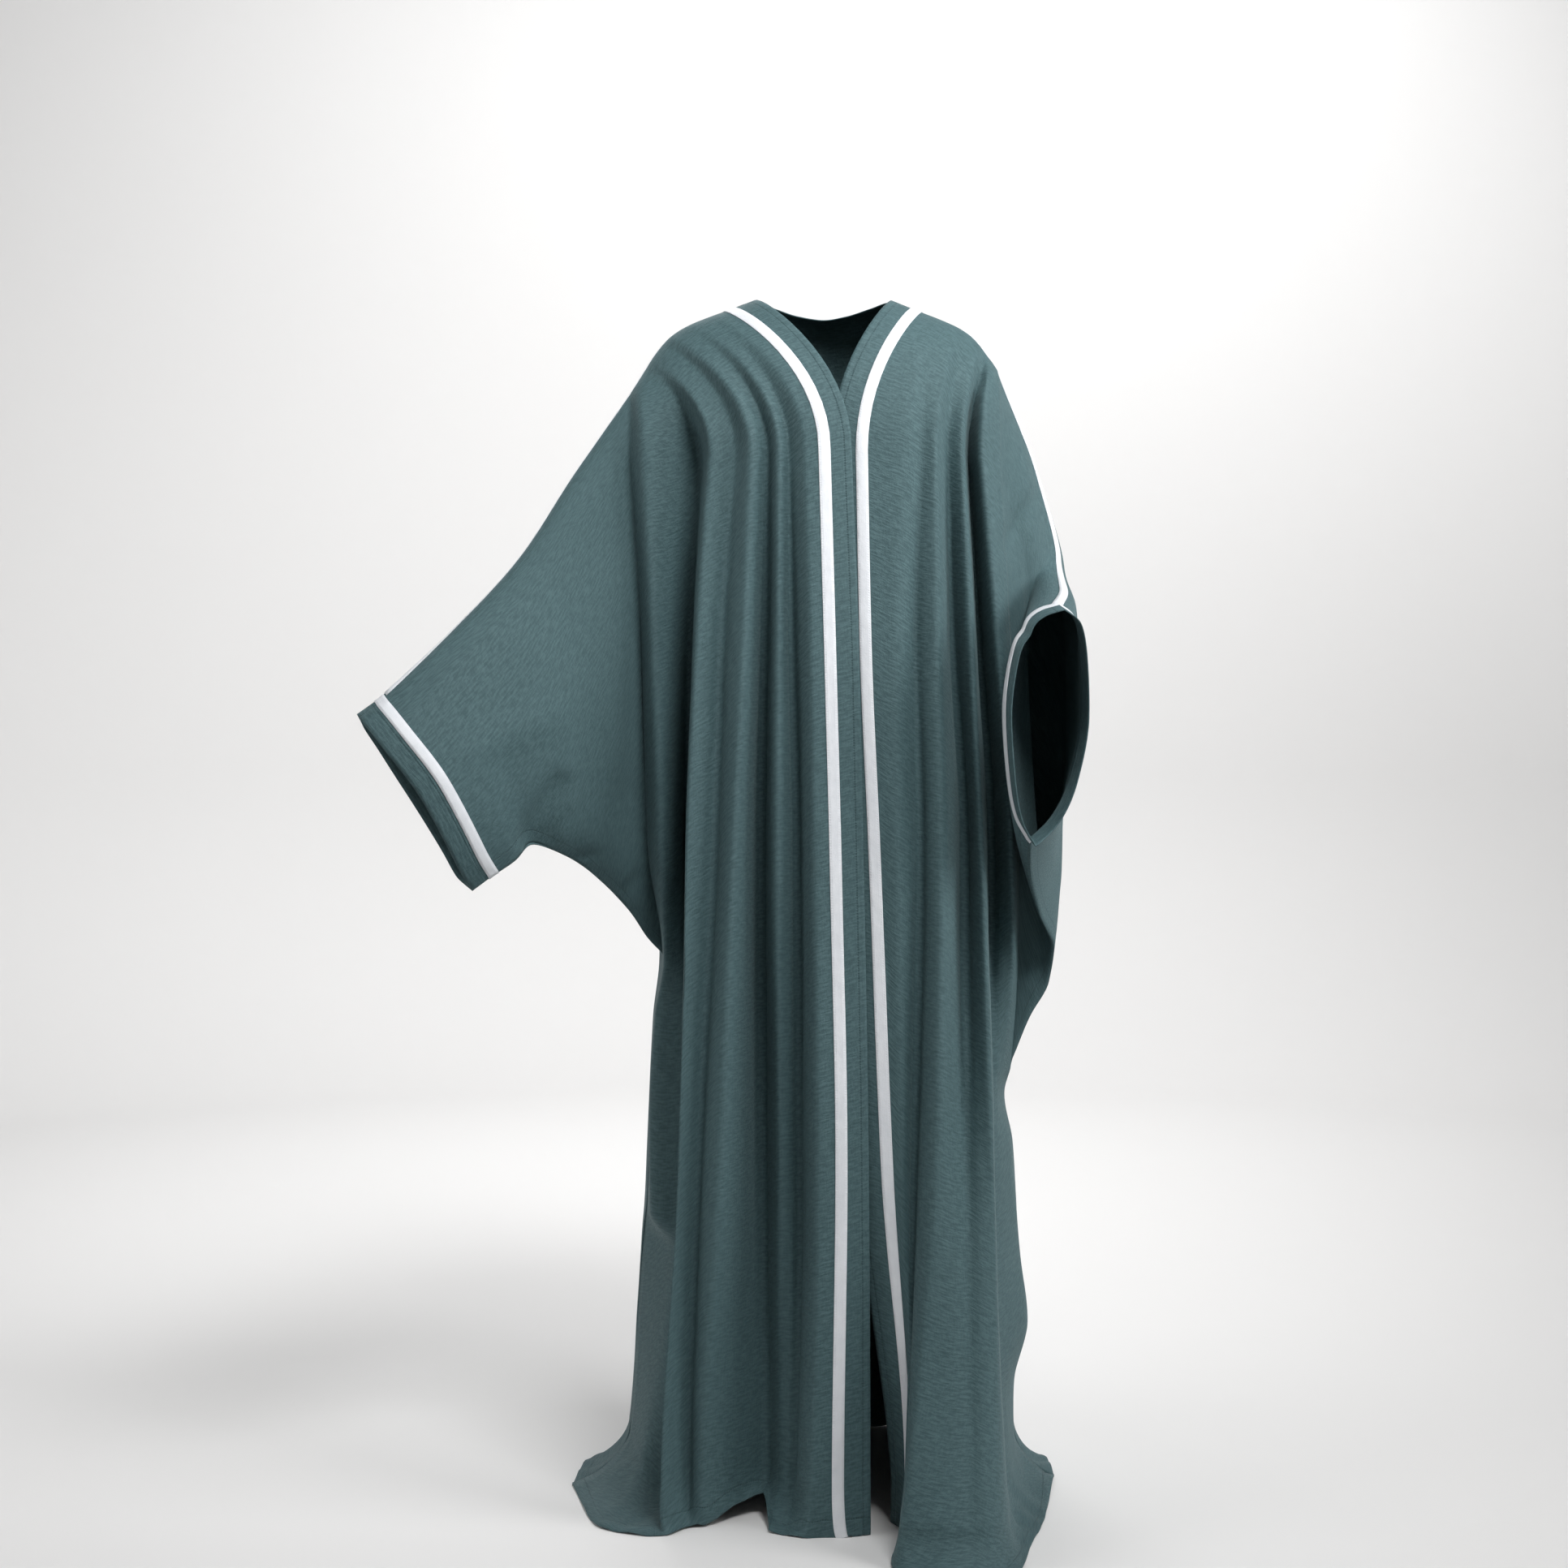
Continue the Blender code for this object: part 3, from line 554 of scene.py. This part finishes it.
def front_rows(side):
    """The front panel and its half of the sleeve, cut in one, row by row from the shoulder seam."""
    shares = [row[1] for row in FRONT_FOLDS[side]] + [SIDE_FOLD_SHARE[side], 1.0]
    tops = shoulder_points(side, shares)
    heights = heights_of(side)
    lines = []
    for i, (top, row) in enumerate(zip(tops, FRONT_FOLDS[side])):
        across, back = ([value * MM for value in values] for values in row[2:])
        near = [other[3][0] * MM for other in FRONT_FOLDS[side][max(i - 2, 0) : i + 3]]
        plain = sum(near) / len(near)
        foot = HEM + HEM_RISE.get((side, row[0]), 0.0)
        lines.append(hanging_line(top, across, back, heights, plain=plain, foot_height=foot))
    lines.append(side_line(side, tops[-2], 1))
    lines.append(side_line(side, tops[-1], 3))
    rows = spread(lines, STEPS_PER_FOLD)
    return with_sleeve(rows, sleeve_rows(side, lines[-1], "front"))


def neighbour(rows, row, column):
    if 0 <= row < len(rows) and 0 <= column < len(rows[0]) and rows[row][column] is not None:
        return rows[row][column]
    return None


def outward(rows, row, column, turned):
    """The direction out of the cloth at one of its points."""
    here = rows[row][column]
    down = (neighbour(rows, row + 1, column) or here) - (neighbour(rows, row - 1, column) or here)
    across = (neighbour(rows, row, column + 1) or here) - (neighbour(rows, row, column - 1) or here)
    normal = down.cross(across).normalized()
    return normal if turned else -normal


UNEVENNESS = (
    # waves to the metre across and down, rise
    (14, 5, 0.0012),
    (55, 13, 0.0004),
)
PUDDLE_HEIGHT, PUDDLE_WAVES, PUDDLE_WRINKLE = 0.06, 20, 0.009
FOLD_PRESS, FOLD_SHARPNESS = 0.006, 1.8
CREASE_FADE, SEAM_ROWS = 0.7, 4
FLOOR_CLEARANCE = 0.0020


def valley_columns(names, first=0):
    """The columns of the cloth that run down the bottoms of its folds."""
    return [first + i * STEPS_PER_FOLD for i, name in enumerate(names) if "valley" in name]


def worn(rows, turned, creases, valleys, seed):
    """The rows with their creases and fold bottoms pressed in, and slightly uneven as hung cloth is."""
    shaped = []
    for i, row in enumerate(rows):
        shaped.append([])
        for k, point in enumerate(row):
            if point is None:
                shaped[-1].append(None)
                continue
            rise = sum(
                noise.noise(Vector((point.x * across, point.z * down, seed))) * height
                for across, down, height in UNEVENNESS
            )
            lying = max(0.0, 1 - point.z / PUDDLE_HEIGHT)
            wrinkle = abs(noise.noise(Vector((point.x * PUDDLE_WAVES, point.y * PUDDLE_WAVES, seed))))
            rise += wrinkle * PUDDLE_WRINKLE * lying
            below = (i - SHOULDER_STEPS) / (CHEST_STEPS / 2)
            hanging = min(1.0, max(0.0, below)) * (1 - lying)
            for column in valleys:
                rise -= FOLD_PRESS * math.exp(-(((k - column) / FOLD_SHARPNESS) ** 2)) * hanging
            for x, height, end_x, end_height, width, depth in creases:
                run = Vector((end_x - x, end_height - height))
                off = Vector((point.x - x, point.z - height))
                share = off.dot(run) / run.length_squared
                if 0 < share < 1:
                    aside = (off - run * share).length / width
                    rise += depth * math.exp(-(aside**2)) * math.sin(math.pi * share) ** CREASE_FADE
            edge = min(1.0, i / SEAM_ROWS)
            placed = point + outward(rows, i, k, turned) * rise * edge
            placed.z = max(placed.z, FLOOR_CLEARANCE)
            shaped[-1].append(placed)
    return shaped


def cloth(name, rows, wall, finish, turned=False):
    """A wall of cloth whose inner face goes through the rows of points, with its cut as its UV map."""
    down, across = len(rows) - 1, len(rows[0]) - 1
    mesh = bmesh.new()
    bmesh.ops.create_grid(mesh, x_segments=across, y_segments=down, size=1)
    lengths = {}
    for i, row in enumerate(rows):
        for k, point in enumerate(row):
            if point is None:
                continue
            before, above = neighbour(rows, i, k - 1), neighbour(rows, i - 1, k)
            u = lengths[i, k - 1][0] + (point - before).length if before is not None else 0.0
            v = lengths[i - 1, k][1] + (point - above).length if above is not None else 0.0
            lengths[i, k] = (u, v)
    feet = [
        max(lengths[i, k][1] for i in range(down + 1) if (i, k) in lengths) for k in range(across + 1)
    ]
    empty, flat, to_edges = [], {}, {}
    for vert in mesh.verts:
        column = round((vert.co.x + 1) / 2 * across)
        row = round((1 - vert.co.y) / 2 * down)
        if rows[row][column] is None:
            empty.append(vert)
        else:
            flat[vert] = lengths[row, column]
            to_edges[vert] = (flat[vert][0], feet[column] - flat[vert][1])
            vert.co = rows[row][column] - Vector((0, 0, SHOULDER_HEIGHT))
    bmesh.ops.delete(mesh, geom=empty, context="VERTS")
    cut_layer, edge_layer = mesh.loops.layers.uv.new("cut"), mesh.loops.layers.uv.new("edges")
    for face in mesh.faces:
        for corner in face.loops:
            corner[cut_layer].uv = flat[corner.vert]
            corner[edge_layer].uv = to_edges[corner.vert]
    bmesh.ops.remove_doubles(mesh, verts=mesh.verts, dist=1e-5)
    if not turned:
        bmesh.ops.reverse_faces(mesh, faces=mesh.faces)
    data = bpy.data.meshes.new(name)
    mesh.to_mesh(data)
    mesh.free()
    data.shade_smooth()
    data.materials.append(finish)
    piece = bpy.data.objects.new(name, data)
    scene.collection.objects.link(piece)
    shell = piece.modifiers.new("Wall", "SOLIDIFY")
    shell.thickness = wall
    shell.offset = 1
    return piece


def sewn(piece, node):
    """The piece is hung from the root and stands in for its solid, whose part from the model is hidden.
    """
    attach(piece, "root")
    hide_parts(node)


RIGHT_CREASES = (
    # x, height, end x, end height, width, depth (below 0 for a trough)
    (-0.352, 0.793, -0.306, 0.885, 0.014, -0.010),
    (-0.332, 0.795, -0.300, 0.842, 0.006, -0.004),
    (-0.306, 0.781, -0.264, 0.790, 0.005, -0.003),
    (-0.246, 0.732, -0.219, 0.764, 0.006, -0.004),
    (-0.420, 0.900, -0.300, 0.960, 0.022, 0.004),
    (-0.260, 1.150, -0.240, 0.860, 0.026, 0.006),
)
right_valleys = valley_columns([row[0] for row in FRONT_FOLDS["right"]])
right_front = worn(front_rows("right"), False, RIGHT_CREASES, right_valleys, 1.3)
right_front_cloth = cloth("right_front_panel", right_front, WALL, crepe)
sewn(right_front_cloth, "front_right")


# The left front: the same cut, mirrored. Its sleeve hangs forward over the bent arm, and its
# low folds swing out towards the camera and lie on the floor.
LEFT_CREASES = (
    (0.262, 1.230, 0.209, 1.138, 0.010, -0.006),
    (0.216, 1.145, 0.225, 0.995, 0.005, -0.003),
    (0.180, 1.374, 0.207, 1.332, 0.006, -0.003),
    (0.240, 1.300, 0.262, 1.130, 0.012, 0.004),
)
left_valleys = valley_columns([row[0] for row in FRONT_FOLDS["left"]])
left_front = worn(front_rows("left"), True, LEFT_CREASES, left_valleys, 4.1)
left_front_cloth = cloth("left_front_panel", left_front, WALL, crepe, True)
sewn(left_front_cloth, "front_left")


# The back: one width of crepe from cuff to cuff. It hangs from the shoulders and the back of
# the neck in even soft folds, and its hem spreads on the floor behind.
BACK_MIDDLE = (0.125, 0.140, 0.165, 0.200, 0.225, 0.262)
BACK_HALF_WIDTH = (0.215, 0.212, 0.212, 0.228, 0.246, 0.296)
BACK_SIDE = (0.045, 0.055, 0.050, 0.070, 0.090, 0.030)
BACK_FOLDS = (
    # place, depth at chest, waist, hip, knee, break, hem
    (0.07, (0.004, 0.006, 0.010, 0.014, 0.018, 0.010)),
    (0.14, (-0.004, -0.010, -0.018, -0.026, -0.030, -0.006)),
    (0.21, (0.004, 0.008, 0.014, 0.020, 0.024, 0.012)),
    (0.28, (-0.004, -0.010, -0.018, -0.022, -0.024, -0.008)),
    (0.35, (0.004, 0.008, 0.012, 0.018, 0.020, 0.014)),
    (0.43, (-0.003, -0.008, -0.014, -0.022, -0.028, -0.004)),
    (0.51, (0.003, 0.006, 0.010, 0.016, 0.022, 0.010)),
    (0.58, (-0.003, -0.006, -0.014, -0.024, -0.026, -0.010)),
    (0.66, (0.004, 0.008, 0.014, 0.020, 0.022, 0.012)),
    (0.73, (-0.004, -0.010, -0.018, -0.024, -0.026, -0.006)),
    (0.80, (0.004, 0.008, 0.012, 0.018, 0.020, 0.010)),
    (0.87, (-0.004, -0.008, -0.016, -0.020, -0.022, -0.006)),
    (0.94, (0.004, 0.006, 0.010, 0.012, 0.014, 0.008)),
)
NECK_PLACES = (0.28, 0.73)
BACK_NECK_DROP = 0.012
BACK_NECK_DEPTH = 0.055
BACK_SQUARENESS = 0.75


def top_of_back(place):
    """The point of the back's top edge that a line falls from: right shoulder, neck, left shoulder."""
    right_neck, left_neck = NECK_PLACES
    if place <= right_neck:
        return shoulder_points("right", [1 - place / right_neck])[0]
    if place >= left_neck:
        return shoulder_points("left", [(place - left_neck) / (1 - left_neck)])[0]
    right, left = (places(OVERARM[side])[0] for side in ("right", "left"))
    nape = Vector((0.0, BACK_NECK_DEPTH, right.z - BACK_NECK_DROP))
    return along([right, nape, left], [(place - right_neck) / (left_neck - right_neck)])[0]


def back_line(place, depths, sides):
    """One fold line of the back, round the back's own curve and drawn in to the side lines near them."""
    angle = math.pi * place
    behind = math.sin(angle)
    tables = (BACK_HALF_WIDTH, BACK_SIDE, BACK_MIDDLE, depths)
    across, back, heights = [], [], []
    for right, left in list(zip(*sides))[SHOULDER_STEPS:-FLOOR_STEPS] + [(sides[0][-1], sides[1][-1])]:
        height = right.z + (left.z - right.z) * place
        at = min(height, CHEST)
        half, side, middle, depth = (between(SECTIONS, values, at) for values in tables)
        drawn = (1 - behind) ** 2
        off_right = right - Vector((-half, side, right.z))
        off_left = left - Vector((half, side, left.z))
        off = (off_right * (1 - place) + off_left * place) * drawn
        heights.append(height)
        across.append(-half * math.cos(angle) - depth * math.cos(angle) / 2 + off.x)
        back.append(side + (middle - side) * behind**BACK_SQUARENESS + depth * behind + off.y)
    return hanging_line(top_of_back(place), across, back, heights[:-1], heights)


def back_rows():
    """The back and its halves of both sleeves, cut in one, from the right cuff to the left."""
    sides = {}
    for side in ("right", "left"):
        top = places(OVERARM[side])[LAST_BODY_PLACE]
        sides[side] = side_line(side, top, 5)[:UNDERARM_ROW] + side_line(side, top, 3)[UNDERARM_ROW:]
    both = (sides["right"], sides["left"])
    folds = [back_line(place, depths, both) for place, depths in BACK_FOLDS]
    rows = spread([sides["right"], *folds, sides["left"]], STEPS_PER_FOLD)
    rows = with_sleeve(rows, sleeve_rows("left", sides["left"], "back"))
    rows = [row[::-1] for row in rows]
    rows = with_sleeve(rows, sleeve_rows("right", sides["right"], "back"))
    return [row[::-1] for row in rows]


back_names = ["side"] + ["valley" if depths[1] < 0 else "crest" for _, depths in BACK_FOLDS]
back = worn(back_rows(), False, (), valley_columns(back_names, SLEEVE_STEPS), 7.7)
back_cloth = cloth("back_panel", back, WALL, crepe)
sewn(back_cloth, "back")


# White ribbon tape, woven smooth with a satin face and a corded edge, is machined on flat: one
# length down each front from the shoulder to the hem.
TAPE_WIDTH = 0.014
TAPE_WALL = 0.0006
TAPE_LIFT = 0.0001
TAPE_STITCH = 0.0016
GREY_WHITE, BLUE_WHITE = (0.54, 0.57, 0.61), (0.80, 0.815, 0.84)

satin, shader, cut = start_finish("white ribbon tape")
ribs = cut.add(
    "ShaderNodeTexWave",
    {"wave_type": "BANDS", "bands_direction": "Y"},
    {"Vector": cut, "Scale": 320.0, "Distortion": 0.4, "Detail": 1.0},
    output=1,
)
ripple = cut.speckle(70, 55, 3.0)
shade = cut.speckle(14, 5, 2.0)
# The tape is greyer where its ripples sink and in soft patches: painted shade in its wrinkles.
join((ripple * 0.5 + shade * 0.5).mixed(GREY_WHITE, BLUE_WHITE), shader, "Base Color")
join(0.42 + ripple * 0.2, shader, "Roughness")
across, along_tape = cut.parts()
sewing = sum(
    stitched(off, run, place)
    for off, run in ((across, along_tape), (along_tape, across))
    for place in (TAPE_STITCH, TAPE_WIDTH - TAPE_STITCH)
)
join((ribs * 0.15 + ripple - sewing * 0.3).bumps(0.7, 0.0016), shader, "Normal")
shader.inputs["Sheen Weight"].default_value = 0.1


def lifted(rows, row, column, turned):
    """The place of a tape's inner face over a point of the cloth below it."""
    return rows[row][column] + outward(rows, row, column, turned) * (WALL + TAPE_LIFT)


for side, rows, turned in (("right", right_front, False), ("left", left_front, True)):
    columns = range(STEPS_PER_FOLD, 2 * STEPS_PER_FOLD + 1)
    strip = [
        [lifted(rows, row, column, turned) for column in columns] for row in range(1, len(rows))
    ]
    tape = cloth(f"{side}_front_tape", strip, TAPE_WALL, satin, turned)
    sewn(tape, f"front_tape_{side}")


# Tape over the seam of each shoulder and arm, from the neck to the cuff, with half its width
# on the front and half on the back.
RIDGE_LIMIT = 2.0
ROWS_UNDER_TAPE = 6


def down_from(line, distance):
    """The place along a line of points at a distance from its first, as a whole number and a share."""
    gone = 0.0
    for k, (start, end) in enumerate(zip(line, line[1:])):
        step = (end - start).length
        if gone + step >= distance:
            return k, (distance - gone) / step
        gone += step
    return len(line) - 2, 1.0


def on_column(rows, column, distance, turned):
    """A tape's point on a column of the cloth, at a distance below the cloth's top edge."""
    line = [rows[row][column] for row in range(ROWS_UNDER_TAPE)]
    k, share = down_from(line, distance)
    return lifted(rows, k, column, turned) * (1 - share) + lifted(rows, k + 1, column, turned) * share


def across_back(back, point):
    """The column of the back's top edge, as a whole number and a share, that lies at a point's x."""
    edge = back[0]
    k = next(i for i in range(len(edge) - 1) if edge[i + 1].x >= point.x or i == len(edge) - 2)
    return k, (point.x - edge[k].x) / (edge[k + 1].x - edge[k].x)


for side, rows, turned in (("right", right_front, False), ("left", left_front, True)):
    body = len(rows[0]) - 1 - SLEEVE_STEPS
    sign, first = (-1, SLEEVE_STEPS) if side == "right" else (1, len(back[0]) - 1 - SLEEVE_STEPS)
    reaches = (TAPE_WIDTH / 2, TAPE_WIDTH / 4)
    strip = [[] for _ in range(5)]
    for column in range(len(rows[0]) - 1):
        if column < body:
            k, share = across_back(back, rows[0][column])
        else:
            k, share = first + sign * (column - body), 0.0
        ends = [
            [on_column(back, i, reach, False) for reach in reaches[::-1]] + [outward(back, 0, i, False)]
            for i in (k, k + 1)
        ]
        near, far, back_out = (a * (1 - share) + b * share for a, b in zip(*ends))
        out = outward(rows, 0, column, turned) + back_out.normalized()
        longer = min(2 / out.length, RIDGE_LIMIT)
        ridge = rows[0][column] + out.normalized() * (WALL + TAPE_LIFT) * longer
        on_front = [on_column(rows, column, reach, turned) for reach in reaches]
        for line, point in zip(strip, on_front + [ridge, near, far]):
            line.append(point)
    tape = cloth(f"{side}_arm_tape", strip, TAPE_WALL, satin, not turned)
    sewn(tape, f"sleeve_tape_{side}")


# Each cuff: a band of crepe sewn round the sleeve's end, and a ring of tape over its seam.
CUFF_ROUND, CUFF_BAND = 0.58, 0.031
BAND_STEPS = 6


def cuff_loop(rows, back, side, turned, inset):
    """Points round the sleeve's end and the ways out of it, some columns in from the cuff seam."""
    across = len(rows[0]) - 1 - inset
    at = inset if side == "right" else len(back[0]) - 1 - inset
    down = range(UNDERARM_ROW + 1)
    front = [(rows[row][across], outward(rows, row, across, turned)) for row in down]
    behind = [(back[row][at], outward(back, row, at, False)) for row in reversed(down)]

    def ridge(first, second):
        out = first[1] + second[1]
        return (first[0] + second[0]) / 2, out.normalized() * min(2 / out.length, RIDGE_LIMIT)

    top, foot = ridge(front[0], behind[-1]), ridge(front[-1], behind[0])
    return [top] + front[1:-1] + [foot] + behind[1:-1] + [top]


for side, rows, turned in (("right", right_front, False), ("left", left_front, True)):
    seam = cuff_loop(rows, back, side, turned, 0)
    inner = cuff_loop(rows, back, side, turned, 1)
    reaches = [SEAM_GAP + (CUFF_BAND - SEAM_GAP) * i / BAND_STEPS for i in range(BAND_STEPS + 1)]
    band = [[point + CUFF_DIRECTION[side] * reach for point, _ in seam] for reach in reaches]
    piece = cloth(f"{side}_cuff_band", band, WALL, crepe, not turned)
    sewn(piece, f"cuff_band_{side}")
    half = TAPE_WIDTH / 2
    ring = []
    for reach in (-half, -half / 2, 0.0, half / 2, half):
        loop = []
        for (point, out), (beside, _) in zip(seam, inner):
            way = (point - beside).normalized() if reach < 0 else CUFF_DIRECTION[side]
            loop.append(point + way * reach + out * (WALL + TAPE_LIFT))
        ring.append(loop)
    tape = cloth(f"{side}_cuff_tape", ring, TAPE_WALL, satin, not turned)
    sewn(tape, f"cuff_tape_{side}")
